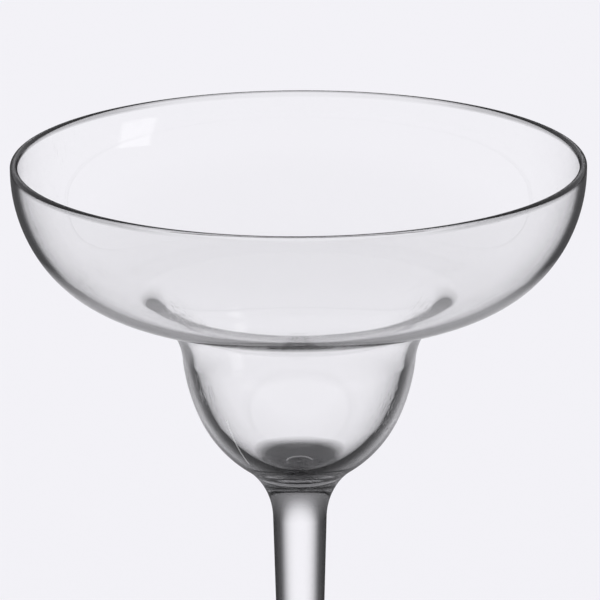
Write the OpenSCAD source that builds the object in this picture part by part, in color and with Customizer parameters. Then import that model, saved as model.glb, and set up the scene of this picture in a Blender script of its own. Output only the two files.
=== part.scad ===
// Margarita glass of clear moulded plastic: a wide upper bowl that steps down
// through a rounded shelf into a small cup, on a solid tapered stem and a round foot.
// Turned about Z. The foot stands on z = 0 and the rim is uppermost.
//
// The outside is one smooth line of arcs and straights from the rim to the foot's
// edge. Its direction is given by the angle that it makes with straight down,
// positive where it leans in towards the axis on its way down.

/* [Upper bowl] */
// Outside radius at the rim
rim_r = 60; // [52:0.5:72]
// Straight height of the lip, between its round top and the bowl's curve
lip_h = 0.6; // [0.2:0.1:3]
// Angle at which the side's flatter curve takes over
side_turn = 34.7; // [25:0.1:45]
// Lean of the shelf, 90 would be level
shelf_turn = 75.3; // [68:0.1:82]
// Length of the straight part of the shelf
shelf_l = 5.2; // [1:0.1:9]
// Radius of the hollow under the shelf, where it turns down into the cup
hollow_r = 13.2; // [8:0.1:17]

/* [Cup] */
// Outside radius of the cup at its top, under the hollow
cup_r = 24.6; // [20:0.1:30]
// Lean of the cup's wall at its top
cup_draft = 5.3; // [1:0.1:10]
// Angle at which the cup's rounder bottom takes over
cup_turn = 23.8; // [18:0.1:35]
// Angle at which the cup's bottom turns back into the neck
neck_turn = 55.1; // [48:0.1:62]
// Radius of the hollow curve of the neck
neck_r = 14.7; // [9:0.1:18]

/* [Walls] */
// Thickness at the rim
wall_rim = 1.55; // [1:0.05:3]
// Thickness of the upper bowl's side
wall_side = 1.5; // [1:0.05:3]
// Thickness of the shelf
wall_shelf = 1.6; // [1.2:0.05:3]
// Lean in the hollow by which the wall has thickened from the shelf's to the cup's
shoulder_turn = 50; // [30:1:65]
// Thickness of the cup's wall at its top
wall_cup = 2.5; // [1.5:0.05:3.5]
// Thickness of the cup's wall where its rounder bottom begins
wall_low = 2.7; // [1.5:0.05:3.5]
// Thickness of the cup's wall at the edge of its solid base
wall_base = 3; // [1.5:0.05:4]

/* [Stem] */
// Radius of the stem under the neck
stem_r = 5.7; // [4.2:0.1:7]
// Radius of the stem at the lower end of its taper
waist_r = 4; // [3:0.1:5.5]
// Length of the taper
taper_h = 62.8; // [40:0.1:90]
// Radius of the long curve where the stem starts to widen
sweep_r = 90; // [50:1:150]
// Angle at which the tighter curve onto the foot takes over
sweep_turn = 8; // [5:0.5:20]

/* [Foot] */
// Outside radius of the foot
foot_r = 39; // [34:0.5:46]
// Thickness of the foot at its round edge
foot_edge = 2.6; // [1.8:0.1:4]
// Fall of the foot's top from the hub to the edge, in degrees
foot_fall = 8; // [4:0.5:14]
// Radius of the curve from the stem onto the foot
foot_fillet_r = 16; // [10:0.5:20]
// Width of the flat ring that the foot stands on
rest_w = 3; // [2:0.1:5]
// Height of the hollow under the foot
foot_hollow = 2; // [0.8:0.1:3]

/* [Bonds] */
// Angle of the neck's curve at which the bowl ends and the stem begins
neck_seam_turn = 39.9; // [35:0.1:44]
// Width of the stem's ring round the bowl's spigot
neck_ring_w = 2.3; // [1.8:0.1:3.5]
// Length of the bowl's spigot
neck_spigot_l = 1.8; // [1:0.1:2.4]
// Angle of the foot's curve at which the stem ends and the foot begins
foot_seam_turn = 45; // [35:1:55]
// Radius of the stem's lower spigot
foot_spigot_r = 3.6; // [2.5:0.1:4.5]
// Length of the stem's lower spigot
foot_spigot_l = 4; // [2:0.1:5]
// Room for the adhesive round and under each spigot
bond_gap = 0.1; // [0.05:0.01:0.2]

/* [Hidden] */
// The lower curve of the upper bowl and the cup's bottom, as shares of the curve above
side_low_share = 0.842;
cup_low_share = 0.657;

// Largest angle between neighbouring points of an arc
point_turn = 4;
// Overrun of a cut past the face that it opens
cut_over = 1;

$fn = 96;

clear_plastic = [0.88, 0.91, 0.93, 0.45];

// Travel towards the axis and downwards along an arc of radius 1 from angle a to b
function arc_in(a, b) = abs(cos(a) - cos(b));
function arc_down(a, b) = abs(sin(b) - sin(a));

// Unit vectors along the line and square to it, into the plastic
function along(a) = [-sin(a), -cos(a)];
function inward(a) = [-cos(a), sin(a)];

// Point where an arc that starts at p with angle a has turned to angle b
function arc_to(p, a, b, r) = p + sign(b - a) * r * (inward(a) - inward(b));

// Number of points on an arc
function steps(a, b) = ceil(abs(b - a) / point_turn);

// Share of the way from one wall thickness to the next, with soft ends
function soft(u) = (1 - cos(180 * u)) / 2;

// Points of an arc, each moved into the plastic by a wall that goes from w0 to w1
function arc_points(p, a, b, r, w0 = 0, w1 = 0, ease = false) = [
    for (i = [1 : steps(a, b)])
        let (u = i / steps(a, b), t = a + (b - a) * u)
        arc_to(p, a, t, r) + (w0 + (w1 - w0) * (ease ? soft(u) : u)) * inward(t)
];

// Taper of the stem as an angle
taper = atan((stem_r - waist_r) / taper_h);

// Radii of the free curves, so that the line ends at the given radii
side_r = (rim_r - cup_r - shelf_l * sin(shelf_turn) - hollow_r * arc_in(cup_draft, shelf_turn))
    / (arc_in(0, side_turn) + side_low_share * arc_in(side_turn, shelf_turn));
side_low_r = side_low_share * side_r;
cup_side_r = (cup_r - stem_r - neck_r * arc_in(taper, neck_turn))
    / (arc_in(cup_draft, cup_turn) + cup_low_share * arc_in(cup_turn, neck_turn));
cup_low_r = cup_low_share * cup_side_r;

// Heights, from the foot up
fall_w = foot_r - foot_edge / 2 - waist_r - sweep_r * (1 - cos(sweep_turn))
    + sweep_r * (1 - cos(taper)) - foot_fillet_r * arc_in(sweep_turn, 90 - foot_fall);
fillet_low_z = foot_edge + fall_w * tan(foot_fall);
fillet_top_z = fillet_low_z + foot_fillet_r * arc_down(sweep_turn, 90 - foot_fall);
sweep_top_z = fillet_top_z + sweep_r * (sin(sweep_turn) + sin(taper));
stem_top_z = sweep_top_z + taper_h;
neck_top_z = stem_top_z + neck_r * arc_down(taper, neck_turn);
cup_turn_z = neck_top_z + cup_low_r * arc_down(cup_turn, neck_turn);
cup_top_z = cup_turn_z + cup_side_r * arc_down(cup_draft, cup_turn);
hollow_top_z = cup_top_z + hollow_r * arc_down(cup_draft, shelf_turn);
shelf_top_z = hollow_top_z + shelf_l * cos(shelf_turn);
side_turn_z = shelf_top_z + side_low_r * arc_down(side_turn, shelf_turn);
lip_z = side_turn_z + side_r * arc_down(0, side_turn);
lip_round_z = lip_z + lip_h;

// Ends of the curves on the outside, from the rim down
lip_p = [rim_r, lip_z];
side_p = arc_to(lip_p, 0, side_turn, side_r);
shelf_p = arc_to(side_p, side_turn, shelf_turn, side_low_r);
hollow_p = shelf_p + shelf_l * along(shelf_turn);
shoulder_p = arc_to(hollow_p, shelf_turn, shoulder_turn, hollow_r);
cup_p = arc_to(shoulder_p, shoulder_turn, cup_draft, hollow_r);
cup_low_p = arc_to(cup_p, cup_draft, cup_turn, cup_side_r);
neck_p = arc_to(cup_low_p, cup_turn, neck_turn, cup_low_r);
waist_p = [waist_r, sweep_top_z];
fillet_p = arc_to(waist_p, taper, -sweep_turn, sweep_r);

// Where the pieces meet
neck_seam_p = arc_to(neck_p, neck_turn, neck_seam_turn, neck_r);
foot_seam_p = arc_to(fillet_p, -sweep_turn, -foot_seam_turn, foot_fillet_r);
neck_spigot_r = neck_seam_p[0] - neck_ring_w;

// Inside floor of the cup, a bowl-shaped cap that goes on from the wall
base_p = neck_p + wall_base * inward(neck_turn);
base_r = base_p[0] / cos(neck_turn);

function lip_points() = [
    for (i = [0 : steps(0, 180)])
        let (t = 180 - 180 * i / steps(0, 180), r = wall_rim / 2)
        [rim_r - r + r * cos(t), lip_round_z + r * sin(t)]
];

function bowl_outside() = concat(
    [lip_p],
    arc_points(lip_p, 0, side_turn, side_r),
    arc_points(side_p, side_turn, shelf_turn, side_low_r),
    [hollow_p],
    arc_points(hollow_p, shelf_turn, shoulder_turn, hollow_r),
    arc_points(shoulder_p, shoulder_turn, cup_draft, hollow_r),
    arc_points(cup_p, cup_draft, cup_turn, cup_side_r),
    arc_points(cup_low_p, cup_turn, neck_turn, cup_low_r),
    arc_points(neck_p, neck_turn, neck_seam_turn, neck_r)
);

function bowl_inside() = concat(
    [lip_p + wall_rim * inward(0)],
    arc_points(lip_p, 0, side_turn, side_r, wall_rim, wall_side),
    arc_points(side_p, side_turn, shelf_turn, side_low_r, wall_side, wall_shelf),
    [hollow_p + wall_shelf * inward(shelf_turn)],
    arc_points(hollow_p, shelf_turn, shoulder_turn, hollow_r, wall_shelf, wall_cup, ease = true),
    arc_points(shoulder_p, shoulder_turn, cup_draft, hollow_r, wall_cup, wall_cup),
    arc_points(cup_p, cup_draft, cup_turn, cup_side_r, wall_cup, wall_low),
    arc_points(cup_low_p, cup_turn, neck_turn, cup_low_r, wall_low, wall_base),
    arc_points(base_p, neck_turn, 90, base_r)
);

function turned_back(points) = [for (i = [len(points) - 1 : -1 : 0]) points[i]];

// Bowl and cup in one moulding, with a short spigot under the cup's solid base
module bowl() {
    color(clear_plastic)
    rotate_extrude()
    polygon(concat(
        lip_points(),
        bowl_outside(),
        [[neck_spigot_r, neck_seam_p[1]]],
        [[neck_spigot_r, neck_seam_p[1] - neck_spigot_l]],
        [[0, neck_seam_p[1] - neck_spigot_l]],
        turned_back(bowl_inside())
    ));
}

// Solid stem, flared at both ends, with a socket at the top and a spigot below
module stem() {
    color(clear_plastic)
    difference() {
        rotate_extrude()
        polygon(concat(
            [[0, neck_seam_p[1]], neck_seam_p],
            arc_points(neck_seam_p, neck_seam_turn, taper, neck_r),
            [waist_p],
            arc_points(waist_p, taper, -sweep_turn, sweep_r),
            arc_points(fillet_p, -sweep_turn, -foot_seam_turn, foot_fillet_r),
            [[foot_spigot_r, foot_seam_p[1]]],
            [[foot_spigot_r, foot_seam_p[1] - foot_spigot_l]],
            [[0, foot_seam_p[1] - foot_spigot_l]]
        ));
        translate([0, 0, neck_seam_p[1] - neck_spigot_l - bond_gap])
            cylinder(r = neck_spigot_r + bond_gap, h = neck_spigot_l + bond_gap + cut_over);
    }
}

// Hollow under the foot, a shallow dome inside the resting ring
dome_edge_r = foot_r - foot_edge / 2 - rest_w;
dome_r = (pow(dome_edge_r, 2) + pow(foot_hollow, 2)) / (2 * foot_hollow);
dome_turn = asin(dome_edge_r / dome_r);

function dome_points() = [
    for (i = [0 : steps(0, dome_turn)])
        let (t = dome_turn * (1 - i / steps(0, dome_turn)))
        [dome_r * sin(t), foot_hollow - dome_r * (1 - cos(t))]
];

function edge_points() = [
    for (i = [0 : steps(0, 180 - foot_fall)])
        let (t = 90 - foot_fall - (180 - foot_fall) * i / steps(0, 180 - foot_fall))
        foot_edge / 2 * [cos(t), sin(t)] + [foot_r - foot_edge / 2, foot_edge / 2]
];

// Round foot with a hollow underside, a flat ring to stand on and a socket in its hub
module foot() {
    color(clear_plastic)
    difference() {
        rotate_extrude()
        polygon(concat(
            [[0, foot_seam_p[1]], foot_seam_p],
            arc_points(foot_seam_p, -foot_seam_turn, foot_fall - 90, foot_fillet_r),
            edge_points(),
            dome_points()
        ));
        translate([0, 0, foot_seam_p[1] - foot_spigot_l - bond_gap])
            cylinder(r = foot_spigot_r + bond_gap, h = foot_spigot_l + bond_gap + cut_over);
    }
}

bowl();
stem();
foot();
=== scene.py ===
"""Looks of the margarita glass: three clear mouldings turned from the outline that the
solids follow, a pale floor and backdrop, soft lamps and the photograph's camera."""

from math import asin, atan, ceil, copysign, cos, pi, radians, sin, tan, tau
import bmesh
import bpy
from bpy.props import FloatProperty, FloatVectorProperty, IntProperty, PointerProperty
from mathutils import Matrix, Vector


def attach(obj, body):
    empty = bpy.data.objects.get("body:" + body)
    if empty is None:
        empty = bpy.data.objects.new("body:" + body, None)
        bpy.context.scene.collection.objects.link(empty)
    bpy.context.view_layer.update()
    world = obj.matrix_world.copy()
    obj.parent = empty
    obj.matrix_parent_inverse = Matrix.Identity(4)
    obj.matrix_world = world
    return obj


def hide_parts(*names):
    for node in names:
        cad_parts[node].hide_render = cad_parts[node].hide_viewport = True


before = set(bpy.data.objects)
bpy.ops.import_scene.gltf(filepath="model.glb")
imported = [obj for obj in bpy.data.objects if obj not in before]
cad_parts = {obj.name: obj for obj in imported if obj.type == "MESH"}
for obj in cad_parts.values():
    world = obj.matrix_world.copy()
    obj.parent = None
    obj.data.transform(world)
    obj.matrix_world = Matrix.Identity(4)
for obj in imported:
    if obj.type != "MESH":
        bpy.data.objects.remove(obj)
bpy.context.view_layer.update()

bl_info = {
    "name": "Margarita Glass",
    "version": (1, 0, 0),
    "blender": (4, 5, 0),
    "location": "3D View > Sidebar > Margarita Glass",
    "description": "Builds a clear moulded margarita glass with its stage",
    "category": "Object",
}

MM = 0.001
UP = Vector((0, 0, 1))

# How much light the plastic's colour lets through where a ray enters it: painted shade standing in
# for the dark room seen through walls that turn away, by how far the face turns away from the eye:
# 0 looks straight at it and 1 is edge-on. In the solid rod only the turn round the glass's own axis counts.
THIN_WALL_PAINTED_SHADE = [
    (0, 0.89), (0.5, 0.91), (0.58, 0.88), (0.65, 0.84), (0.725, 0.79), (0.75, 0.55), (0.78, 0.34),
    (0.81, 0.2), (0.85, 0.16), (0.9, 0.14), (1, 0.14),
]
CUP_WALL_PAINTED_SHADE = [
    (0, 0.97), (0.14, 0.97), (0.22, 0.93), (0.3, 0.89), (0.39, 0.8), (0.45, 0.7), (0.5, 0.62),
    (0.55, 0.62), (0.65, 0.72), (0.75, 0.93), (0.84, 0.86), (1, 0.8),
]
ROD_PAINTED_SHADE = [
    (0, 1), (0.055, 1), (0.071, 0.985), (0.092, 0.94), (0.119, 0.88), (0.153, 0.77), (0.195, 0.61),
    (0.245, 0.4), (0.306, 0.2), (0.382, 0.09), (0.606, 0.05), (1, 0.05),
]
# Painted shade on the cup's floor, its rounder bottom and the round lip, which darkens them when seen from the
# side
DEEP_PAINTED_SHADE = [(0, 0.97), (0.12, 0.8), (0.22, 0.15), (0.34, 0.03), (1, 0.02)]
# How much light a plain face lets through, whichever way it turns
CLEAR = 0.985
# Light that meets a face from inside the plastic, by its angle in degrees: from 41.8 on, the
# face throws it all back, and just past that its colour is painted dark, as painted shade standing in for the
# dark beside the studio.
TURNED_BACK_PAINTED_SHADE = [
    (32, 1), (36, 0.98), (39, 0.93), (40.3, 0.85), (41.1, 0.7), (41.7, 0.5), (41.85, 0.04), (43.2, 0.05),
    (44.3, 0.1), (45.4, 0.28), (46.6, 0.58), (47.7, 0.88), (52, 1),
]
# The soft shadow that the clear plastic throws, by how far the face turns away from the lamp
SHADOW_EDGE = [(0, 0.93), (0.5, 0.85), (0.8, 0.55), (1, 0.3)]
# The gate mark on the cup's floor: a dot and a fine ring, drawn as paler lines of painted light, by distance
# from the middle in mm
GATE_MARK_PAINTED_LIGHT = [(0, 1), (0.3, 1), (0.45, 0), (2.5, 0), (2.7, 1), (2.9, 1), (3.1, 0), (4, 0)]
GATE_STRENGTH = 0.35
# One long hair scratch down the cup's outside: its two ends, by the turn away from the front
# to the left and the height in mm, and its width and strength
SCRATCH_ENDS = ((radians(41.8), 123.6), (radians(39), 112.6))
SCRATCH_W = 0.25 * MM
SCRATCH_STRENGTH = 0.7

# Sizes of the patterns in the plastic's skin. Real scuffs are finer: these are drawn about
# three times as wide, so that a picture of the whole glass still shows them.
WAVE_LENGTH = 14 * MM
WAVE_ROUGHNESS = 0.4
SCUFF_WIDTH = 0.38 * MM
SCUFF_LENGTH = 6.7 * MM
SCUFF_LEAN = (0.5, 0.9, 0.2)
SCUFFED_PATCH = 11 * MM
SCUFF_SHOWS = (0.47, 0.55)
SCUFF_STRENGTH = 0.6

# The photograph's camera, as fitted to the rim's ellipse and the outline. Its distance is in
# metres, and its focal length and its shift are in picture widths.
CAMERA_FALL = radians(16.45)
CAMERA_ROLL = radians(-0.238)
CAMERA_AWAY = 1.0292
CAMERA_BELOW_RIM = 30.52 * MM
CAMERA_FOCUS = 4904.7 / 600
CAMERA_SHIFT = (300 - 298.99) / 600
CAMERA_CLIP = (0.01, 50)
SENSOR = 36

# How bright the pale studio is by the height of a direction, 0 level and 1 straight up: its
# backdrop ends some way up, and above it the walls reflect a greyer ceiling.
CEILING = [(0, 1), (0.4, 1), (0.75, 0.75), (1, 0.7)]
# The high lamp gives the shadow, and the softbox the pale patch in the bowl's far wall.
HIGH_LAMP_PLACE = Vector((-0.6, -0.7, 1.8))
HIGH_LAMP_WIDTH = radians(24)
SOFTBOX_PLACE = Vector((1.10, -0.34, 0.169))
SOFTBOX_AIM = Vector((-0.034, 0.047, 0.169))
SOFTBOX_SIZE = (0.34, 0.40)
SOFTBOX_ROLL = radians(-16)
# The floor lies just under the foot, so that their faces don't coincide.
FLOOR_R = 8.0
FLOOR_SIDES = 128
FLOOR_GAP = 0.1 * MM
# Light goes up and down the solid stem many times before it comes out.
BOUNCES = 32

# Steps in the small curves that the solids' arcs don't share: the lip, the foot's edge and its hollow
LIP_STEPS = 24
EDGE_STEPS = 20
DOME_STEPS = 16
SHARP_EDGE = radians(40)
WELD = 0.002 * MM
# A face takes the bond when all its points are in the joint, so that their mean is above this.
ALL_BONDED = 0.99


def srgb(code):
    """Linear colour from an sRGB hex code such as f2f2f6."""
    parts = [int(code[i : i + 2], 16) / 255 for i in (0, 2, 4)]
    return tuple(c / 12.92 if c <= 0.04045 else ((c + 0.055) / 1.055) ** 2.4 for c in parts)


def way(at, start, end):
    """How far a place has come on the way from start to end, between 0 and 1."""
    return min(1.0, max(0.0, (at - start) / (end - start)))


def inward(a):
    """Unit vector square to the outline, into the plastic, where the outline leans by a."""
    return Vector((-cos(a), sin(a)))


def along(a):
    """Unit vector down the outline, where the outline leans by a."""
    return Vector((-sin(a), -cos(a)))


class Outline:
    """The glass's outline in metres, by the same arcs as the solids.

    An angle is how far the outline leans in from straight down on its way down.
    """

    def __init__(self, s):
        self.s = s
        self.taper = atan((s.stem_r - s.waist_r) / s.taper_h)
        hollow_in = s.hollow_r * (cos(s.cup_draft) - cos(s.shelf_turn))
        side_in = 1 - cos(s.side_turn) + s.side_low_share * (cos(s.side_turn) - cos(s.shelf_turn))
        self.side_r = (s.rim_r - s.cup_r - s.shelf_l * sin(s.shelf_turn) - hollow_in) / side_in
        self.side_low_r = s.side_low_share * self.side_r
        neck_in = s.neck_r * (cos(self.taper) - cos(s.neck_turn))
        cup_in = cos(s.cup_draft) - cos(s.cup_turn) + s.cup_low_share * (cos(s.cup_turn) - cos(s.neck_turn))
        self.cup_side_r = (s.cup_r - s.stem_r - neck_in) / cup_in
        self.cup_low_r = s.cup_low_share * self.cup_side_r

        # heights from the foot up to the rim
        fall = pi / 2 - s.foot_fall
        fall_w = (
            s.foot_r - s.foot_edge / 2 - s.waist_r
            - s.sweep_r * (cos(self.taper) - cos(s.sweep_turn))
            - s.foot_fillet_r * (cos(s.sweep_turn) - cos(fall))
        )
        fall_z = s.foot_edge + fall_w * tan(s.foot_fall)
        fillet_z = fall_z + s.foot_fillet_r * (sin(fall) - sin(s.sweep_turn))
        waist_z = fillet_z + s.sweep_r * (sin(s.sweep_turn) + sin(self.taper))
        neck_z = waist_z + s.taper_h + s.neck_r * (sin(s.neck_turn) - sin(self.taper))
        cup_low_z = neck_z + self.cup_low_r * (sin(s.neck_turn) - sin(s.cup_turn))
        cup_z = cup_low_z + self.cup_side_r * (sin(s.cup_turn) - sin(s.cup_draft))
        hollow_z = cup_z + s.hollow_r * (sin(s.shelf_turn) - sin(s.cup_draft))
        shelf_z = hollow_z + s.shelf_l * cos(s.shelf_turn)
        side_z = shelf_z + self.side_low_r * (sin(s.shelf_turn) - sin(s.side_turn))
        lip_z = side_z + self.side_r * sin(s.side_turn)

        # the places where one curve gives way to the next, from the rim down
        self.lip = Vector((s.rim_r, lip_z))
        self.side = self.turn(self.lip, 0, s.side_turn, self.side_r)
        self.shelf = self.turn(self.side, s.side_turn, s.shelf_turn, self.side_low_r)
        self.hollow = self.shelf + s.shelf_l * along(s.shelf_turn)
        self.shoulder = self.turn(self.hollow, s.shelf_turn, s.shoulder_turn, s.hollow_r)
        self.cup = self.turn(self.hollow, s.shelf_turn, s.cup_draft, s.hollow_r)
        self.cup_low = self.turn(self.cup, s.cup_draft, s.cup_turn, self.cup_side_r)
        self.neck = self.turn(self.cup_low, s.cup_turn, s.neck_turn, self.cup_low_r)
        self.base = self.neck + s.wall_base * inward(s.neck_turn)
        self.neck_seam = self.turn(self.neck, s.neck_turn, s.neck_seam_turn, s.neck_r)
        self.neck_spigot = Vector((self.neck_seam.x - s.neck_ring_w, self.neck_seam.y - s.neck_spigot_l))
        self.waist = Vector((s.waist_r, waist_z))
        self.fillet = self.turn(self.waist, self.taper, -s.sweep_turn, s.sweep_r)
        self.foot_seam = self.turn(self.fillet, -s.sweep_turn, -s.foot_seam_turn, s.foot_fillet_r)
        self.foot_spigot = Vector((s.foot_spigot_r, self.foot_seam.y - s.foot_spigot_l))

    @staticmethod
    def turn(p, a, b, r):
        """Where an arc of radius r ends that starts at p and turns from the lean a to the lean b."""
        return p + copysign(r, b - a) * (inward(a) - inward(b))

    def arc(self, p, a, b, r, w0=0.0, w1=0.0, soft=False):
        """Points of an arc, moved into the plastic by a wall that grows from w0 to w1, evenly or
        with a soft start and end."""
        n = max(2, ceil(abs(b - a) / self.s.fineness))
        made = []
        for i in range(1, n + 1):
            t = a + (b - a) * i / n
            grown = (1 - cos(pi * i / n)) / 2 if soft else i / n
            made.append(self.turn(p, a, t, r) + (w0 + (w1 - w0) * grown) * inward(t))
        return made

    def lip_round(self):
        """Points over the round lip, from the inside to the outside."""
        r = self.s.wall_rim / 2
        middle = Vector((self.s.rim_r - r, self.lip.y + self.s.lip_h))
        turns = [pi - pi * i / LIP_STEPS for i in range(LIP_STEPS + 1)]
        return [middle + r * Vector((cos(t), sin(t))) for t in turns]

    def bowl_outside(self):
        """Points down the bowl's outside, from the lip to the seam with the stem."""
        s = self.s
        return (
            [self.lip]
            + self.arc(self.lip, 0, s.side_turn, self.side_r)
            + self.arc(self.side, s.side_turn, s.shelf_turn, self.side_low_r)
            + [self.hollow]
            + self.arc(self.hollow, s.shelf_turn, s.shoulder_turn, s.hollow_r)
            + self.arc(self.shoulder, s.shoulder_turn, s.cup_draft, s.hollow_r)
            + self.arc(self.cup, s.cup_draft, s.cup_turn, self.cup_side_r)
            + self.arc(self.cup_low, s.cup_turn, s.neck_turn, self.cup_low_r)
            + self.arc(self.neck, s.neck_turn, s.neck_seam_turn, s.neck_r)
        )

    def bowl_inside(self):
        """Points down the bowl's inside, from the lip to the middle of the cup's floor."""
        s = self.s
        return (
            [self.lip + s.wall_rim * inward(0)]
            + self.arc(self.lip, 0, s.side_turn, self.side_r, s.wall_rim, s.wall_side)
            + self.arc(self.side, s.side_turn, s.shelf_turn, self.side_low_r, s.wall_side, s.wall_shelf)
            + [self.hollow + s.wall_shelf * inward(s.shelf_turn)]
            + self.arc(self.hollow, s.shelf_turn, s.shoulder_turn, s.hollow_r, s.wall_shelf, s.wall_cup, True)
            + self.arc(self.shoulder, s.shoulder_turn, s.cup_draft, s.hollow_r, s.wall_cup, s.wall_cup)
            + self.arc(self.cup, s.cup_draft, s.cup_turn, self.cup_side_r, s.wall_cup, s.wall_low)
            + self.arc(self.cup_low, s.cup_turn, s.neck_turn, self.cup_low_r, s.wall_low, s.wall_base)
            + self.arc(self.base, s.neck_turn, pi / 2, self.base.x / cos(s.neck_turn))[:-1]
            + [Vector((0, self.floor_z()))]
        )

    def floor_z(self):
        """Height of the middle of the cup's floor."""
        a = self.s.neck_turn
        return self.base.y - self.base.x / cos(a) * (1 - sin(a))


def add(tree, kind, settings=None, values=None, links=None):
    """Adds a node, sets its options and socket values, and links sockets into it."""
    node = tree.nodes.new(kind)
    for key, value in (settings or {}).items():
        setattr(node, key, value)
    for key, value in (values or {}).items():
        node.inputs[key].default_value = value
    for key, source in (links or {}).items():
        tree.links.new(source, node.inputs[key])
    return node


def fill(node, stops, colour=(1, 1, 1)):
    """Gives a colour ramp its stops, as levels of one colour."""
    points = node.color_ramp.elements
    while len(points) > 1:
        points.remove(points[-1])
    points[0].position = stops[0][0]
    points[0].color = (*[stops[0][1] * c for c in colour], 1)
    for at, level in stops[1:]:
        points.new(at).color = (*[level * c for c in colour], 1)
    return node.outputs["Color"]


def seen_rays(tree):
    """1 for a ray that the eye follows, straight, mirrored or through the plastic, and 0 for
    one that gathers light."""
    path = add(tree, "ShaderNodeLightPath")
    eye = add(
        tree, "ShaderNodeMath", {"operation": "MAXIMUM"}, None,
        {0: path.outputs["Is Camera Ray"], 1: path.outputs["Is Glossy Ray"]},
    )
    return add(
        tree, "ShaderNodeMath", {"operation": "MAXIMUM"}, None,
        {0: eye.outputs[0], 1: path.outputs["Is Transmission Ray"]},
    ).outputs[0]


def turning_tree():
    """Node tree that turns an outline, drawn as a line of points, about the Z axis."""
    tree = bpy.data.node_groups.new("turned_about_z", "GeometryNodeTree")
    interface = tree.interface
    interface.new_socket("Outline", in_out="INPUT", socket_type="NodeSocketGeometry")
    interface.new_socket("Points", in_out="INPUT", socket_type="NodeSocketInt").min_value = 2
    interface.new_socket("Around", in_out="INPUT", socket_type="NodeSocketInt").min_value = 3
    interface.new_socket("Sharp Edge", in_out="INPUT", socket_type="NodeSocketFloat").subtype = "ANGLE"
    interface.new_socket("Plastic", in_out="INPUT", socket_type="NodeSocketMaterial")
    interface.new_socket("Bond", in_out="INPUT", socket_type="NodeSocketMaterial")
    interface.new_socket("Piece", in_out="OUTPUT", socket_type="NodeSocketGeometry")
    given = add(tree, "NodeGroupInput").outputs
    out = add(tree, "NodeGroupOutput")

    columns = add(tree, "ShaderNodeMath", {"operation": "ADD"}, {1: 1.0}, {0: given["Around"]})
    sheet = add(
        tree, "GeometryNodeMeshGrid", None, None,
        {"Vertices X": columns.outputs[0], "Vertices Y": given["Points"]},
    )
    # a grid counts its points along Y first, so the remainder is the place on the outline
    index = add(tree, "GeometryNodeInputIndex").outputs[0]
    place = add(tree, "ShaderNodeMath", {"operation": "MODULO"}, None, {0: index, 1: given["Points"]})
    turns = add(tree, "ShaderNodeMath", {"operation": "DIVIDE"}, None, {0: index, 1: given["Points"]})
    whole = add(tree, "ShaderNodeMath", {"operation": "FLOOR"}, None, {0: turns.outputs[0]})
    part = add(tree, "ShaderNodeMath", {"operation": "DIVIDE"}, None, {0: whole.outputs[0], 1: given["Around"]})
    angle = add(tree, "ShaderNodeMath", {"operation": "MULTIPLY"}, {1: tau}, {0: part.outputs[0]})

    where = add(tree, "GeometryNodeInputPosition").outputs[0]
    point = add(
        tree, "GeometryNodeSampleIndex", {"data_type": "FLOAT_VECTOR"}, None,
        {"Geometry": given["Outline"], "Value": where, "Index": place.outputs[0]},
    )
    parts = add(tree, "ShaderNodeSeparateXYZ", None, None, {0: point.outputs[0]})
    upright = add(
        tree, "ShaderNodeCombineXYZ", None, None, {"X": parts.outputs["X"], "Z": parts.outputs["Z"]},
    )
    turned = add(
        tree, "ShaderNodeVectorRotate", {"rotation_type": "Z_AXIS"}, None,
        {"Vector": upright.outputs[0], "Angle": angle.outputs[0]},
    )
    shape = add(
        tree, "GeometryNodeSetPosition", None, None,
        {"Geometry": sheet.outputs["Mesh"], "Position": turned.outputs[0]},
    ).outputs[0]

    # what the outline's points carry goes with them
    for name in ("thick", "plain", "deep", "bonded"):
        carried = add(tree, "GeometryNodeInputNamedAttribute", {"data_type": "FLOAT"}, {"Name": name})
        sampled = add(
            tree, "GeometryNodeSampleIndex", {"data_type": "FLOAT"}, None,
            {"Geometry": given["Outline"], "Value": carried.outputs[0], "Index": place.outputs[0]},
        )
        shape = add(
            tree, "GeometryNodeStoreNamedAttribute", {"data_type": "FLOAT", "domain": "POINT"}, {"Name": name},
            {"Geometry": shape, "Value": sampled.outputs[0]},
        ).outputs[0]

    # the seam and the poles close, and corners stay sharp between smooth faces
    closed = add(tree, "GeometryNodeMergeByDistance", None, {"Distance": WELD}, {"Geometry": shape})
    edge = add(tree, "GeometryNodeInputMeshEdgeAngle")
    sharp = add(
        tree, "FunctionNodeCompare", {"operation": "GREATER_THAN"}, None,
        {0: edge.outputs["Unsigned Angle"], 1: given["Sharp Edge"]},
    )
    smooth = add(tree, "GeometryNodeSetShadeSmooth", {"domain": "FACE"}, None, {"Geometry": closed.outputs[0]})
    smooth = add(
        tree, "GeometryNodeSetShadeSmooth", {"domain": "EDGE"}, {"Shade Smooth": False},
        {"Geometry": smooth.outputs[0], "Selection": sharp.outputs[0]},
    )
    real = add(tree, "GeometryNodeRealizeInstances", None, None, {0: smooth.outputs[0]})
    coated = add(
        tree, "GeometryNodeSetMaterial", None, None,
        {"Geometry": real.outputs[0], "Material": given["Plastic"]},
    )
    bonded = add(tree, "GeometryNodeInputNamedAttribute", {"data_type": "FLOAT"}, {"Name": "bonded"})
    joint = add(
        tree, "FunctionNodeCompare", {"operation": "GREATER_THAN"}, {1: ALL_BONDED}, {0: bonded.outputs[0]},
    )
    coated = add(
        tree, "GeometryNodeSetMaterial", None, None,
        {"Geometry": coated.outputs[0], "Material": given["Bond"], "Selection": joint.outputs[0]},
    )
    tree.links.new(coated.outputs[0], out.inputs[0])
    return tree


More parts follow.
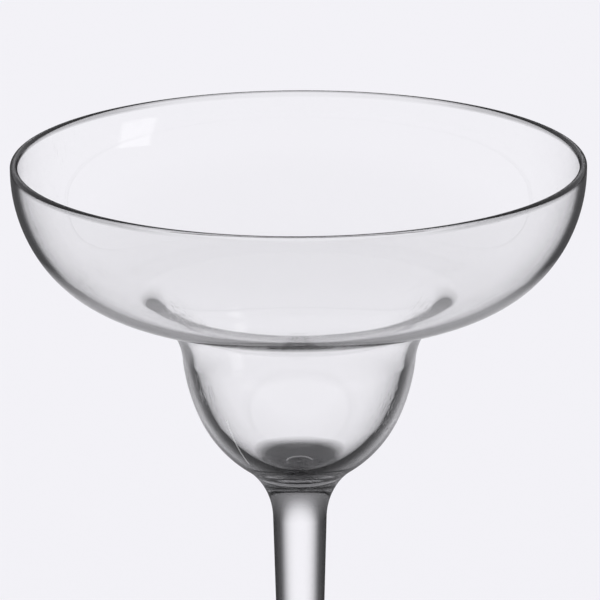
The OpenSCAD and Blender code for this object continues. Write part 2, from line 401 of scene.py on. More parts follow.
def turned_piece(name, points, marks):
    """One moulding, turned from its outline and kept as a plain closed mesh."""
    line = bpy.data.meshes.new(name + "_outline")
    line.from_pydata([(p.x, 0, p.y) for p in points], [(i, i + 1) for i in range(len(points) - 1)], [])
    for key, values in marks.items():
        line.attributes.new(key, "FLOAT", "POINT").data.foreach_set("value", values)
    holder = bpy.data.objects.new(name + "_outline", line)
    bpy.context.scene.collection.objects.link(holder)

    tree = bpy.data.node_groups.get("turned_about_z") or turning_tree()
    turning = holder.modifiers.new("turning", "NODES")
    turning.node_group = tree
    sockets = {i.name: i.identifier for i in tree.interface.items_tree if i.in_out == "INPUT"}
    turning[sockets["Points"]] = len(points)
    turning[sockets["Around"]] = bpy.context.scene.margarita_sizes.around
    turning[sockets["Sharp Edge"]] = SHARP_EDGE
    made = bpy.data.materials
    turning[sockets["Plastic"]] = made.get("clear_moulded_acrylic") or clear_moulded_acrylic()
    turning[sockets["Bond"]] = made.get("clear_bond") or clear_bond()
    ready = holder.evaluated_get(bpy.context.evaluated_depsgraph_get())
    mesh = bpy.data.meshes.new_from_object(ready)
    bpy.data.objects.remove(holder)
    mesh.name = name

    shape = bmesh.new()
    shape.from_mesh(mesh)
    bmesh.ops.recalc_face_normals(shape, faces=shape.faces)
    if any(not e.is_manifold for e in shape.edges):
        raise RuntimeError(f"{name} is not closed")
    shape.to_mesh(mesh)
    shape.free()
    piece = bpy.data.objects.new(name, mesh)
    bpy.context.scene.collection.objects.link(piece)
    return piece


def moulded_skin(tree, looks, place):
    """Normal of the moulded skin: faint flow waves with a few fine scuffs over them."""
    # the waves that a cooling skin leaves, which make edges and reflections waver a little
    waves = add(
        tree, "ShaderNodeTexNoise", None, {"Scale": 1 / WAVE_LENGTH, "Detail": 1, "Roughness": WAVE_ROUGHNESS},
        {"Vector": place},
    )
    skin = add(
        tree, "ShaderNodeBump", None, {"Strength": 1.0, "Distance": looks.wave_depth},
        {"Height": waves.outputs["Fac"]},
    )
    # scuffs from use: fine streaks in patches, which break the gloss here and there
    size = (1 / SCUFF_WIDTH, 1 / SCUFF_WIDTH, 1 / SCUFF_LENGTH)
    drawn = add(tree, "ShaderNodeMapping", None, {"Rotation": SCUFF_LEAN, "Scale": size}, {"Vector": place})
    streaks = add(tree, "ShaderNodeTexNoise", None, {"Scale": 1, "Detail": 0}, {"Vector": drawn.outputs[0]})
    patches = add(
        tree, "ShaderNodeTexNoise", None, {"Scale": 1 / SCUFFED_PATCH, "Detail": 0}, {"Vector": place},
    )
    both = add(
        tree, "ShaderNodeMath", {"operation": "MULTIPLY"}, None,
        {0: streaks.outputs["Fac"], 1: patches.outputs["Fac"]},
    )
    scuffs = add(
        tree, "ShaderNodeMapRange", None, {"From Min": SCUFF_SHOWS[0], "From Max": SCUFF_SHOWS[1]},
        {"Value": both.outputs[0]},
    )
    return add(
        tree, "ShaderNodeBump", {"invert": True}, {"Strength": SCUFF_STRENGTH, "Distance": looks.scuff_depth},
        {"Height": scuffs.outputs[0], "Normal": skin.outputs[0]},
    ).outputs[0]


def turned_round_axis(tree, facing):
    """How far a face turns away round the glass's own axis, however steeply it is seen, drawn
    as facing would have it at the photograph's fall."""
    axis = add(
        tree, "ShaderNodeVectorTransform",
        {"vector_type": "NORMAL", "convert_from": "OBJECT", "convert_to": "WORLD"}, {"Vector": UP},
    ).outputs[0]
    level = add(tree, "ShaderNodeLayerWeight", None, {"Blend": 0.5}, {"Normal": axis}).outputs["Facing"]
    steep = add(tree, "ShaderNodeMath", {"operation": "SUBTRACT"}, {0: 1.0}, {1: level}).outputs[0]
    steep = add(tree, "ShaderNodeMath", {"operation": "ARCSINE"}, None, {0: steep}).outputs[0]
    across = add(tree, "ShaderNodeMath", {"operation": "COSINE"}, None, {0: steep}).outputs[0]
    towards = add(tree, "ShaderNodeMath", {"operation": "SUBTRACT"}, {0: 1.0}, {1: facing}).outputs[0]
    towards = add(
        tree, "ShaderNodeMath", {"operation": "DIVIDE", "use_clamp": True}, None, {0: towards, 1: across},
    ).outputs[0]
    return add(
        tree, "ShaderNodeMath", {"operation": "MULTIPLY_ADD"}, {1: -cos(CAMERA_FALL), 2: 1.0}, {0: towards},
    ).outputs[0]


def from_axis(tree, place):
    """Distance from the glass's axis."""
    flat = add(tree, "ShaderNodeVectorMath", {"operation": "MULTIPLY"}, {1: (1, 1, 0)}, {0: place}).outputs[0]
    return add(tree, "ShaderNodeVectorMath", {"operation": "LENGTH"}, None, {0: flat}).outputs["Value"]


def empty_material(name):
    """A new material and its empty node tree."""
    mat = bpy.data.materials.new(name)
    mat.use_nodes = True
    mat.node_tree.nodes.clear()
    return mat, mat.node_tree


def gate_mark(tree, place):
    """How strongly the gate mark's paler lines of painted light show, by the distance from the glass's axis."""
    reach = GATE_MARK_PAINTED_LIGHT[-1][0]
    away = add(
        tree, "ShaderNodeMapRange", None, {"From Max": reach * MM}, {"Value": from_axis(tree, place)},
    ).outputs[0]
    mark = fill(
        add(tree, "ShaderNodeValToRGB", {"label": "gate mark"}, None, {0: away}),
        [(r / reach, level) for r, level in GATE_MARK_PAINTED_LIGHT],
    )
    return add(tree, "ShaderNodeMath", {"operation": "MULTIPLY"}, {1: GATE_STRENGTH}, {0: mark}).outputs[0]


def hair_scratch(tree, place, is_plain):
    """Where the long hair scratch runs over the glass's outside."""
    (turn_0, mm_0), (turn_1, mm_1) = SCRATCH_ENDS
    # the glass's left is the frame's -X and its front is -Y
    facing_us = add(tree, "ShaderNodeVectorMath", {"operation": "MULTIPLY"}, {1: (-1, -1, 1)}, {0: place})
    parts = add(tree, "ShaderNodeSeparateXYZ", None, None, {0: facing_us.outputs[0]})
    turned = add(
        tree, "ShaderNodeMath", {"operation": "ARCTAN2"}, None, {0: parts.outputs["X"], 1: parts.outputs["Y"]},
    ).outputs[0]
    middle = add(
        tree, "ShaderNodeMapRange", None,
        {"From Min": mm_0 * MM, "From Max": mm_1 * MM, "To Min": turn_0, "To Max": turn_1},
        {"Value": parts.outputs["Z"]},
    ).outputs[0]
    off = add(tree, "ShaderNodeMath", {"operation": "SUBTRACT"}, None, {0: turned, 1: middle}).outputs[0]
    off = add(
        tree, "ShaderNodeMath", {"operation": "MULTIPLY"}, None, {0: off, 1: from_axis(tree, place)},
    ).outputs[0]
    off = add(tree, "ShaderNodeMath", {"operation": "ABSOLUTE"}, None, {0: off}).outputs[0]
    line = add(
        tree, "ShaderNodeMapRange", None,
        {"From Min": SCRATCH_W / 4, "From Max": SCRATCH_W / 2, "To Min": SCRATCH_STRENGTH, "To Max": 0.0},
        {"Value": off},
    ).outputs[0]
    between = {1: (mm_0 + mm_1) / 2 * MM, 2: abs(mm_0 - mm_1) / 2 * MM}
    near = add(tree, "ShaderNodeMath", {"operation": "COMPARE"}, between, {0: parts.outputs["Z"]}).outputs[0]
    line = add(tree, "ShaderNodeMath", {"operation": "MULTIPLY"}, None, {0: line, 1: near}).outputs[0]
    outside = add(tree, "ShaderNodeMath", {"operation": "LESS_THAN"}, {1: 0.5}, {0: is_plain}).outputs[0]
    return add(tree, "ShaderNodeMath", {"operation": "MULTIPLY"}, None, {0: line, 1: outside}).outputs[0]


def clear_moulded_acrylic():
    """Clear acrylic moulded in polished steel: bright as glass, with painted shade as dark lines where
    walls turn away, a faintly wavy skin, fine scuffs, one hair scratch and the gate mark on the cup's
    floor, drawn as paler lines of painted light."""
    looks = bpy.context.scene.margarita_looks
    colour = tuple(looks.plastic)
    clear = (*[CLEAR * c for c in colour], 1)
    mat, tree = empty_material("clear_moulded_acrylic")
    place = add(tree, "ShaderNodeTexCoord").outputs["Object"]
    path = add(tree, "ShaderNodeLightPath")
    skin = moulded_skin(tree, looks, place)

    # painted shade, standing in for the dark sides of a room seen through walls that turn away: a thin
    # wall gets it as a line at its edge, the cup's wall as a band, and a solid rod over half its width
    facing = add(tree, "ShaderNodeLayerWeight", None, {"Blend": 0.5}, {"Normal": skin}).outputs["Facing"]
    thin = fill(add(tree, "ShaderNodeValToRGB", {"label": "thin wall"}, None, {0: facing}), THIN_WALL_PAINTED_SHADE, colour)
    cup = fill(add(tree, "ShaderNodeValToRGB", {"label": "cup wall"}, None, {0: facing}), CUP_WALL_PAINTED_SHADE, colour)
    deep = add(tree, "ShaderNodeValToRGB", {"label": "deep plastic"}, None, {0: facing})
    deep = fill(deep, DEEP_PAINTED_SHADE, colour)
    turned = turned_round_axis(tree, facing)
    rod = fill(add(tree, "ShaderNodeValToRGB", {"label": "solid rod"}, None, {0: turned}), ROD_PAINTED_SHADE, colour)

    # what the outline's points carry, which picks the painted shade: 0 thin wall, 1 cup wall, 2 solid; a plain
    # face; deep plastic
    is_thick = add(tree, "ShaderNodeAttribute", {"attribute_name": "thick"}).outputs["Fac"]
    is_plain = add(tree, "ShaderNodeAttribute", {"attribute_name": "plain"}).outputs["Fac"]
    deep_shade_mask = add(tree, "ShaderNodeAttribute", {"attribute_name": "deep"}).outputs["Fac"]
    is_solid = add(
        tree, "ShaderNodeMath", {"operation": "SUBTRACT", "use_clamp": True}, {1: 1.0}, {0: is_thick},
    ).outputs[0]
    # the bowl's walls mirror the stem and the foot's hub, and their mirror images keep only a faint share of
    # its painted shade
    kept = add(
        tree, "ShaderNodeMapRange", None, {"To Min": 1.0, "To Max": looks.mirrored_rod},
        {"Value": path.outputs["Is Glossy Ray"]},
    ).outputs[0]
    is_solid = add(
        tree, "ShaderNodeMath", {"operation": "MULTIPLY"}, None, {0: is_solid, 1: kept},
    ).outputs[0]
    # a mix of colours has its share in socket 0, its colours in 6 and 7 and its result in 2
    painted_shade_tint = add(tree, "ShaderNodeMix", {"data_type": "RGBA"}, None, {0: is_thick, 6: thin, 7: cup}).outputs[2]
    painted_shade_tint = add(tree, "ShaderNodeMix", {"data_type": "RGBA"}, None, {0: is_solid, 6: painted_shade_tint, 7: rod}).outputs[2]
    painted_shade_tint = add(tree, "ShaderNodeMix", {"data_type": "RGBA"}, {7: clear}, {0: is_plain, 6: painted_shade_tint}).outputs[2]
    painted_shade_tint = add(tree, "ShaderNodeMix", {"data_type": "RGBA"}, None, {0: deep_shade_mask, 6: painted_shade_tint, 7: deep}).outputs[2]

    # the gate left a dot and a ring in the floor, drawn as fine paler lines of painted light that take the
    # floor's painted shade away
    mark = gate_mark(tree, place)
    mark = add(tree, "ShaderNodeMath", {"operation": "MULTIPLY"}, None, {0: mark, 1: deep_shade_mask}).outputs[0]
    painted_shade_tint = add(tree, "ShaderNodeMix", {"data_type": "RGBA"}, {7: clear}, {0: mark, 6: painted_shade_tint}).outputs[2]

    # facing is one less the cosine of the angle, so the table's degrees turn into places
    # between its two ends; in the shelf, part of the light that is turned back is spared this painted shade and
    # stays pale
    low, high = 1 - cos(radians(TURNED_BACK_PAINTED_SHADE[0][0])), 1 - cos(radians(TURNED_BACK_PAINTED_SHADE[-1][0]))
    turned_back_shade = add(
        tree, "ShaderNodeMapRange", None, {"From Min": low, "From Max": high}, {"Value": facing},
    ).outputs[0]
    turned_back_shade = fill(
        add(tree, "ShaderNodeValToRGB", {"label": "turned back"}, None, {0: turned_back_shade}),
        [((1 - cos(radians(a)) - low) / (high - low), level) for a, level in TURNED_BACK_PAINTED_SHADE], colour,
    )
    pale = add(tree, "ShaderNodeMath", {"operation": "MULTIPLY"}, None, {0: is_thick, 1: is_plain}).outputs[0]
    pale = add(tree, "ShaderNodeMath", {"operation": "MULTIPLY"}, {1: looks.shelf_light}, {0: pale}).outputs[0]
    turned_back_shade = add(tree, "ShaderNodeMix", {"data_type": "RGBA"}, {7: clear}, {0: pale, 6: turned_back_shade}).outputs[2]
    inside = add(tree, "ShaderNodeNewGeometry").outputs["Backfacing"]
    painted_shade_tint = add(tree, "ShaderNodeMix", {"data_type": "RGBA"}, None, {0: inside, 6: painted_shade_tint, 7: turned_back_shade}).outputs[2]

    # the glass takes the painted shade as its colour
    glass = add(
        tree, "ShaderNodeBsdfGlass", None, {"IOR": looks.ior, "Roughness": 0.0},
        {"Color": painted_shade_tint, "Normal": skin},
    ).outputs[0]
    # lamps shine on through, so that the glass's own shadow stays soft and pale
    shade = fill(add(tree, "ShaderNodeValToRGB", {"label": "shadow"}, None, {0: facing}), SHADOW_EDGE, colour)
    shadow = add(tree, "ShaderNodeBsdfTransparent", None, None, {"Color": shade}).outputs[0]
    both = add(
        tree, "ShaderNodeMixShader", None, None, {0: path.outputs["Is Shadow Ray"], 1: glass, 2: shadow},
    ).outputs[0]
    # a scratch's broken sides catch light from all round, so it shows as a fine white line
    white = add(tree, "ShaderNodeBsdfDiffuse", None, {"Color": (1, 1, 1, 1)}).outputs[0]
    scratch = hair_scratch(tree, place, is_plain)
    scratched = add(tree, "ShaderNodeMixShader", None, None, {0: scratch, 1: both, 2: white}).outputs[0]
    add(tree, "ShaderNodeOutputMaterial", None, None, {"Surface": scratched})
    return mat


def clear_bond():
    """Clear adhesive that fills a joint: light goes straight on from one moulding to the next."""
    mat, tree = empty_material("clear_bond")
    through = add(tree, "ShaderNodeBsdfTransparent").outputs[0]
    add(tree, "ShaderNodeOutputMaterial", None, None, {"Surface": through})
    return mat


def matt_pale_board():
    """Matt painted board under and behind the glass: one soft colour with the shadow on it."""
    looks = bpy.context.scene.margarita_looks
    mat, tree = empty_material("matt_pale_board")
    part = (*[c * looks.board_lit for c in looks.board], 1)
    lit = add(tree, "ShaderNodeBsdfDiffuse", None, {"Color": part})
    glow = add(tree, "ShaderNodeEmission", None, {"Color": (*looks.board, 1), "Strength": 1 - looks.board_lit})
    seen = add(tree, "ShaderNodeAddShader", None, None, {0: lit.outputs[0], 1: glow.outputs[0]})
    plain = add(tree, "ShaderNodeBsdfDiffuse", None, {"Color": (*looks.board, 1)})
    both = add(
        tree, "ShaderNodeMixShader", None, None, {0: seen_rays(tree), 1: plain.outputs[0], 2: seen.outputs[0]},
    )
    add(tree, "ShaderNodeOutputMaterial", None, None, {"Surface": both.outputs[0]})
    return mat


def length(name, mm, about):
    """A size in the panel, given in millimetres."""
    return FloatProperty(
        name=name, description=about, default=mm * MM, min=0.0, subtype="DISTANCE", unit="LENGTH", precision=5,
    )


def lean(name, degrees, about):
    """An angle in the panel, given in degrees."""
    return FloatProperty(
        name=name, description=about, default=radians(degrees), min=0.0, max=pi / 2, subtype="ANGLE",
        unit="ROTATION",
    )


def share(name, value, about):
    """A share between none and all in the panel."""
    return FloatProperty(name=name, description=about, default=value, min=0.0, max=1.0, subtype="FACTOR")


def tone(name, code, about):
    """A colour in the panel, given as its sRGB hex code."""
    return FloatVectorProperty(
        name=name, description=about, default=srgb(code), min=0.0, max=1.0, size=3, subtype="COLOR",
    )


class MargaritaSizes(bpy.types.PropertyGroup):
    """Sizes of the glass, as the solids have them."""

    rim_r: length("Rim Radius", 60, "Outside radius at the rim")
    lip_h: length("Lip Height", 0.6, "Straight height between the round lip and the bowl's curve")
    side_turn: lean("Side Turn", 34.7, "Lean at which the side's tighter curve takes over")
    shelf_turn: lean("Shelf Turn", 75.3, "Lean of the shelf, a quarter turn would be level")
    shelf_l: length("Shelf Length", 5.2, "Length of the straight part of the shelf")
    hollow_r: length("Hollow Radius", 13.2, "Radius of the hollow under the shelf")
    shoulder_turn: lean("Shoulder Turn", 50, "Lean in the hollow by which the wall has its full thickness")
    cup_r: length("Cup Radius", 24.6, "Outside radius of the cup at its top")
    cup_draft: lean("Cup Draft", 5.3, "Lean of the cup's wall at its top")
    cup_turn: lean("Cup Turn", 23.8, "Lean at which the cup's rounder bottom takes over")
    neck_turn: lean("Neck Turn", 55.1, "Lean at which the cup's bottom turns back into the neck")
    neck_r: length("Neck Radius", 14.7, "Radius of the hollow curve of the neck")
    side_low_share: share("Side Share", 0.842, "Lower curve of the side as a share of the upper one")
    cup_low_share: share("Cup Share", 0.657, "Curve of the cup's bottom as a share of the one above")
    wall_rim: length("Rim Wall", 1.55, "Thickness at the rim")
    wall_side: length("Side Wall", 1.5, "Thickness of the upper bowl's side")
    wall_shelf: length("Shelf Wall", 1.6, "Thickness of the shelf")
    wall_cup: length("Cup Wall", 2.5, "Thickness of the cup's wall at its top")
    wall_low: length("Low Wall", 2.7, "Thickness of the cup's wall where its rounder bottom begins")
    wall_base: length("Base Wall", 3, "Thickness of the cup's wall above its bottom")
    stem_r: length("Stem Radius", 5.7, "Radius of the stem under the neck")
    waist_r: length("Waist Radius", 4, "Radius of the stem at the lower end of its taper")
    taper_h: length("Taper Length", 62.8, "Length of the stem's taper")
    sweep_r: length("Sweep Radius", 90, "Radius of the long curve where the stem starts to widen")
    sweep_turn: lean("Sweep Turn", 8, "Lean at which the curve onto the foot takes over")
    foot_r: length("Foot Radius", 39, "Outside radius of the foot")
    foot_edge: length("Foot Edge", 2.6, "Thickness of the foot at its edge")
    foot_fall: lean("Foot Fall", 8, "Fall of the foot's top from the hub to the edge")
    foot_fillet_r: length("Foot Fillet", 16, "Radius of the curve from the stem onto the foot")
    rest_w: length("Rest Width", 3, "Width of the flat ring that the foot stands on")
    foot_hollow: length("Foot Hollow", 2, "Height of the hollow under the foot")
    neck_seam_turn: lean("Neck Seam", 39.9, "Lean of the neck's curve where the bowl ends")
    neck_ring_w: length("Neck Ring", 2.3, "Width of the stem's ring round the bowl's spigot")
    neck_spigot_l: length("Neck Spigot", 1.8, "Length of the bowl's spigot")
    foot_seam_turn: lean("Foot Seam", 45, "Lean of the foot's curve where the stem ends")
    foot_spigot_r: length("Foot Spigot Radius", 3.6, "Radius of the stem's lower spigot")
    foot_spigot_l: length("Foot Spigot Length", 4, "Length of the stem's lower spigot")
    fineness: lean("Fineness", 1.3, "Largest turn between two points of a curve")
    around: IntProperty(name="Around", description="Faces around each moulding", default=256, min=48, max=512)


class MargaritaLooks(bpy.types.PropertyGroup):
    """Colours and finishes of the glass and its stage."""

    plastic: tone("Plastic", "ffffff", "Colour of the clear plastic")
    ior: FloatProperty(
        name="Refractive Index", description="How far the plastic bends light", default=1.5, min=1.3, max=1.7,
    )
    wave_depth: length("Wave Depth", 0.006, "Depth of the moulded skin's flow waves")
    scuff_depth: length("Scuff Depth", 0.01, "Depth of the fine scuffs")
    # the settings from here to Mirrored Rod steer the painted shade in the plastic's colour
    lip_share: share("Lip Share", 0.4, "How dark the round lip shows from the side")
    shelf_share: share("Shelf Share", 0.8, "How clear the shelf's underside stays")
    shelf_light: share("Shelf Light", 0.3, "How much of the light turned back in the shelf is pale")
    shelf_fade: length("Shelf Fade", 6, "Height over which the side's shade changes to the shelf's")
    base_share: share("Base Share", 0.6, "How far the cup's rounder bottom takes the solid stem's shade")
    base_deep: share("Base Deep", 0.3, "How dark the cup's rounder bottom shows from the side")
    floor_fade: length("Floor Fade", 1.6, "Height over which the shade on the cup's floor ends")
    neck_share: share("Neck Share", 0.65, "How far the neck takes the solid stem's shade")
    neck_fade: length("Neck Fade", 3, "Height over which the neck's shade begins")
    flare_fade: length("Flare Fade", 12, "Height over which the stem's shade eases in its upper flare")
    hub_share: share("Hub Share", 0.4, "How far the foot's hub takes the solid stem's shade")
    hub_fade: length("Hub Fade", 5, "Width over which the hub's shade ends on the foot")
    mirrored_rod: share("Mirrored Rod", 0.1, "Share of the stem's dark sides that its mirror images keep")
    board: tone("Board", "f3f2f7", "Colour of the floor and the backdrop")
    board_lit: share("Board Lit", 0.35, "Share of the board's colour that lamps and shadows change")
    lamps: tone("Lamps", "ffffff", "Colour of the lamps")
    lamp_level: FloatProperty(
        name="Lamp Level", description="Light on the floor from the high lamp", default=0.5, min=0.0, max=2.0,
    )
    softbox_power: FloatProperty(
        name="Softbox Power", description="Power of the softbox that the bowl reflects", default=0.38, min=0.0,
        subtype="POWER", unit="POWER",
    )
    room_level: FloatProperty(
        name="Room Level", description="Light from all round", default=0.55, min=0.0, max=2.0,
    )


def finish_piece(name, node, points, marks):
    """Turns a moulding and puts it in the place of its solid."""
    piece = turned_piece(name, points, marks)
    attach(piece, "root")
    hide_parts(node)


def bowl_marks(o, looks, inside, lip, outside, spigot):
    """What the bowl's points carry: how thick, plain and deep it is there, and its joint."""
    # the shelf, between the bowl's side and the shoulder, gets less painted shade than they do
    high, low = o.side.y + looks.shelf_fade / 2, o.side.y - looks.shelf_fade / 2
    shelf = [min(way(p.y, high, low), way(p.y, o.cup.y, o.shoulder.y)) for p in inside + lip + outside]
    thick = shelf[: len(inside)]
    plain = [1.0] * len(inside) + [looks.shelf_share * v for v in shelf[len(inside) :]]
    deep = [way(p.y, o.base.y, o.base.y - looks.floor_fade) for p in inside] + [looks.lip_share] * len(lip)
    # outside, the side's painted shade gives way to that of the thicker cup, its rounder bottom and the solid
    # neck
    for p in lip + outside:
        cup = way(p.y, o.shoulder.y, o.cup.y)
        base = way(p.y, o.cup_low.y, o.neck.y)
        neck = way(p.y, o.neck.y + looks.neck_fade, o.neck.y)
        thick.append(cup + looks.base_share * base + (looks.neck_share - looks.base_share) * neck)
    for p in outside:
        base = way(p.y, o.cup_low.y, o.neck.y)
        neck = way(p.y, o.neck.y - looks.neck_fade, o.neck.y)
        deep.append(looks.base_deep * base**2 * neck)
    bonded = [0.0] * (len(thick) - 1) + [1.0] * (len(spigot) + 1)
    rest = [0.0] * len(spigot)
    return {"thick": thick + [2.0] * len(spigot), "plain": plain + rest, "deep": deep + rest, "bonded": bonded}


class MARGARITA_OT_bowl(bpy.types.Operator):
    """Turn the bowl and cup, one moulding with a spigot under it"""

    bl_idname = "margarita.bowl"
    bl_label = "Bowl"

    def execute(self, context):
        o = Outline(context.scene.margarita_sizes)
        inside = o.bowl_inside()[::-1]
        lip = o.lip_round()
        outside = o.bowl_outside()
        end = o.neck_spigot
        spigot = [Vector((end.x, o.neck_seam.y)), end, Vector((0, end.y))]
        marks = bowl_marks(o, context.scene.margarita_looks, inside, lip, outside, spigot)
        finish_piece("moulded_bowl", "bowl", inside + lip + outside + spigot, marks)
        return {"FINISHED"}


class MARGARITA_OT_stem(bpy.types.Operator):
    """Turn the solid stem, flared at both ends"""

    bl_idname = "margarita.stem"
    bl_label = "Stem"

    def execute(self, context):
        s = context.scene.margarita_sizes
        looks = context.scene.margarita_looks
        o = Outline(s)
        top, bottom = o.neck_spigot, o.foot_spigot
        socket = [Vector((0, top.y)), top, Vector((top.x, o.neck_seam.y)), o.neck_seam]
        side = (
            o.arc(o.neck_seam, s.neck_seam_turn, o.taper, s.neck_r)
            + [o.waist]
            + o.arc(o.waist, o.taper, -s.sweep_turn, s.sweep_r)
            + o.arc(o.fillet, -s.sweep_turn, -s.foot_seam_turn, s.foot_fillet_r)
        )
        spigot = [Vector((bottom.x, o.foot_seam.y)), bottom, Vector((0, bottom.y))]
        points = socket + side + spigot
        # the rod's painted shade starts in the flare and eases where the stem meets the foot
        thick = []
        for p in points:
            flare = way(p.y, o.neck.y - looks.flare_fade, o.neck.y)
            hub = way(p.y, o.fillet.y, o.foot_seam.y)
            thick.append(2.0 - (1 - looks.neck_share) * flare - (1 - looks.hub_share) * hub)
        marks = {
            "thick": thick,
            "plain": [0.0] * len(points),
            "deep": [0.0] * len(points),
            "bonded": [1.0] * len(socket) + [0.0] * (len(side) - 1) + [1.0] * (len(spigot) + 1),
        }
        finish_piece("moulded_stem", "stem", points, marks)
        return {"FINISHED"}


class MARGARITA_OT_foot(bpy.types.Operator):
    """Turn the round foot with its hub, its resting ring and the hollow under it"""

    bl_idname = "margarita.foot"
    bl_label = "Foot"

    def execute(self, context):
        s = context.scene.margarita_sizes
        looks = context.scene.margarita_looks
        o = Outline(s)
        seam, hole = o.foot_seam, o.foot_spigot
        socket = [Vector((0, hole.y)), hole, Vector((hole.x, seam.y)), seam]
        top = o.arc(seam, -s.foot_seam_turn, s.foot_fall - pi / 2, s.foot_fillet_r)
        # the round edge, from the top's fall to the table
        r = s.foot_edge / 2
        start = pi / 2 - s.foot_fall
        edge = []
        for i in range(EDGE_STEPS + 1):
            a = start - (pi / 2 + start) * i / EDGE_STEPS
            edge.append(Vector((s.foot_r - r + r * cos(a), r + r * sin(a))))
        # the hollow, a shallow part of a ball inside the flat ring
        ring = s.foot_r - r - s.rest_w
        ball = (ring**2 + s.foot_hollow**2) / (2 * s.foot_hollow)
        dome = []
        for i in range(DOME_STEPS):
            a = asin(ring / ball) * (1 - i / DOME_STEPS)
            dome.append(Vector((ball * sin(a), s.foot_hollow - ball * (1 - cos(a)))))
        dome.append(Vector((0, s.foot_hollow)))
        points = socket + top + edge + dome
        # the hub takes up the stem's painted shade, and the plate round it is plain
        hub = [way(p.x, seam.x + looks.hub_fade, seam.x) for p in socket + top + edge] + [0.0] * len(dome)
        marks = {
            "thick": [(1 + looks.hub_share) * v for v in hub],
            "plain": [1 - v for v in hub],
            "deep": [0.0] * len(points),
            "bonded": [1.0] * len(socket) + [0.0] * (len(points) - len(socket)),
        }
        finish_piece("moulded_foot", "foot", points, marks)
        return {"FINISHED"}


def looking(place, ahead, roll):
    """Placing of a lamp or camera that looks ahead from its place, rolled about its own view."""
    turn = ahead.to_track_quat("-Z", "Y").to_matrix().to_4x4()
    return Matrix.Translation(place) @ turn @ Matrix.Rotation(roll, 4, "Z")


def lamp(name, kind, level, place, aim, settings, roll=0.0):
    """One lamp that points from its place at its aim."""
    data = bpy.data.lights.new(name, kind)
    data.energy = level
    data.color = bpy.context.scene.margarita_looks.lamps
    for key, value in settings.items():
        setattr(data, key, value)
    made = bpy.data.objects.new(name, data)
    bpy.context.scene.collection.objects.link(made)
    made.matrix_world = looking(place, aim - place, roll)
    return made


def set_camera(scene):
    """The photograph's camera, in front of the glass and looking down on it."""
    data = bpy.data.cameras.new("camera")
    data.sensor_width = SENSOR
    data.lens = SENSOR * CAMERA_FOCUS
    data.shift_x = CAMERA_SHIFT
    data.clip_start, data.clip_end = CAMERA_CLIP
    cam = bpy.data.objects.new("camera", data)
    scene.collection.objects.link(cam)
    scene.camera = cam
    s = scene.margarita_sizes
    rim_z = Outline(s).lip.y + s.lip_h + s.wall_rim / 2
    aim = Vector((0, 0, rim_z - CAMERA_BELOW_RIM))
    ahead = Vector((0, cos(CAMERA_FALL), -sin(CAMERA_FALL)))
    cam.matrix_world = looking(aim - CAMERA_AWAY * ahead, ahead, CAMERA_ROLL)


def set_world(scene):
    """The pale studio: the eye sees the backdrop's colour, and the glass gets an even light."""
    looks = scene.margarita_looks
    world = bpy.data.worlds.new("studio")
    scene.world = world
    world.use_nodes = True
    tree = world.node_tree
    tree.nodes.clear()
    direction = add(tree, "ShaderNodeTexCoord").outputs["Generated"]
    height = add(tree, "ShaderNodeSeparateXYZ", None, None, {0: direction}).outputs["Z"]
    ceiling = add(tree, "ShaderNodeValToRGB", {"label": "ceiling"}, None, {0: height})
    ceiling = fill(ceiling, CEILING, tuple(looks.board))
    pale = add(tree, "ShaderNodeBackground", None, {"Strength": 1.0}, {"Color": ceiling})
    light = add(tree, "ShaderNodeBackground", None, {"Color": (1, 1, 1, 1), "Strength": looks.room_level})
    both = add(
        tree, "ShaderNodeMixShader", None, None, {0: seen_rays(tree), 1: light.outputs[0], 2: pale.outputs[0]},
    )
    add(tree, "ShaderNodeOutputWorld", None, None, {"Surface": both.outputs[0]})


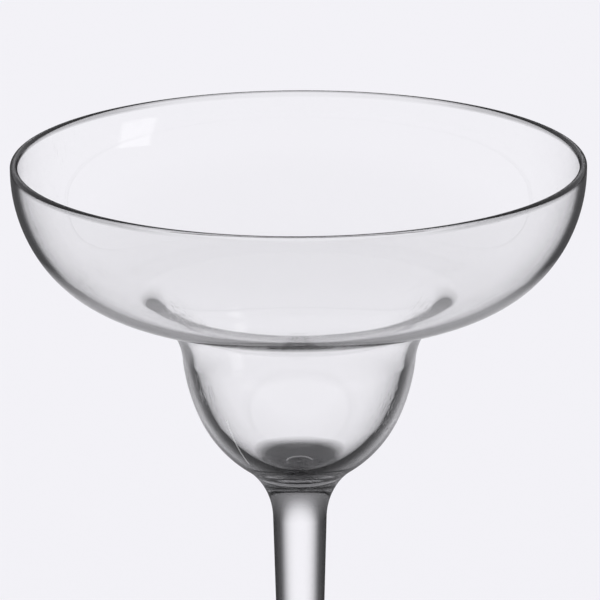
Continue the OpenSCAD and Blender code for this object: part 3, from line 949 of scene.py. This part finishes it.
class MARGARITA_OT_stage(bpy.types.Operator):
    """Set the floor, the backdrop, the lamps and the camera"""

    bl_idname = "margarita.stage"
    bl_label = "Stage"

    def execute(self, context):
        scene = context.scene
        looks = scene.margarita_looks
        set_camera(scene)
        set_world(scene)

        # a soft high lamp that gives the shadow, and a softbox that the bowl's wall reflects
        high = lamp(
            "high_lamp", "SUN", looks.lamp_level * pi, HIGH_LAMP_PLACE, Vector((0, 0, 0)),
            {"angle": HIGH_LAMP_WIDTH},
        )
        high.visible_glossy = False
        high.visible_transmission = False
        box = lamp(
            "softbox", "AREA", looks.softbox_power, SOFTBOX_PLACE, SOFTBOX_AIM,
            {"shape": "RECTANGLE", "size": SOFTBOX_SIZE[0], "size_y": SOFTBOX_SIZE[1]}, SOFTBOX_ROLL,
        )
        box.visible_camera = False
        box.visible_diffuse = False

        mesh = bpy.data.meshes.new("floor")
        shape = bmesh.new()
        bmesh.ops.create_circle(shape, cap_ends=True, radius=FLOOR_R, segments=FLOOR_SIDES)
        bmesh.ops.translate(shape, verts=shape.verts, vec=(0, 0, -FLOOR_GAP))
        shape.to_mesh(mesh)
        shape.free()
        mesh.materials.append(matt_pale_board())
        floor = bpy.data.objects.new("floor", mesh)
        scene.collection.objects.link(floor)
        return {"FINISHED"}


class MARGARITA_PT_panel(bpy.types.Panel):
    """Buttons, looks and sizes of the glass"""

    bl_idname = "MARGARITA_PT_panel"
    bl_label = "Margarita Glass"
    bl_space_type = "VIEW_3D"
    bl_region_type = "UI"
    bl_category = "Margarita Glass"

    def draw(self, context):
        column = self.layout.column(align=True)
        for kind in OPERATORS:
            column.operator(kind.bl_idname)
        for group in (context.scene.margarita_looks, context.scene.margarita_sizes):
            column.separator()
            for name in type(group).__annotations__:
                column.prop(group, name)


OPERATORS = (MARGARITA_OT_stage, MARGARITA_OT_bowl, MARGARITA_OT_stem, MARGARITA_OT_foot)
CLASSES = (MargaritaSizes, MargaritaLooks, *OPERATORS, MARGARITA_PT_panel)


def register():
    """Registers the classes and hangs the two groups on the scene."""
    for kind in CLASSES:
        bpy.utils.register_class(kind)
    bpy.types.Scene.margarita_sizes = PointerProperty(type=MargaritaSizes)
    bpy.types.Scene.margarita_looks = PointerProperty(type=MargaritaLooks)


def unregister():
    """Takes away what register added."""
    del bpy.types.Scene.margarita_looks
    del bpy.types.Scene.margarita_sizes
    for kind in reversed(CLASSES):
        bpy.utils.unregister_class(kind)


def main():
    """Registers the add-on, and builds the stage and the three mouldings."""
    register()
    scene = bpy.context.scene
    scene.view_settings.view_transform = "Standard"
    for kind in ("max_bounces", "glossy_bounces", "transmission_bounces"):
        setattr(scene.cycles, kind, BOUNCES)
    bpy.ops.margarita.stage()
    bpy.ops.margarita.bowl()
    bpy.ops.margarita.stem()
    bpy.ops.margarita.foot()


if __name__ == "__main__":
    main()
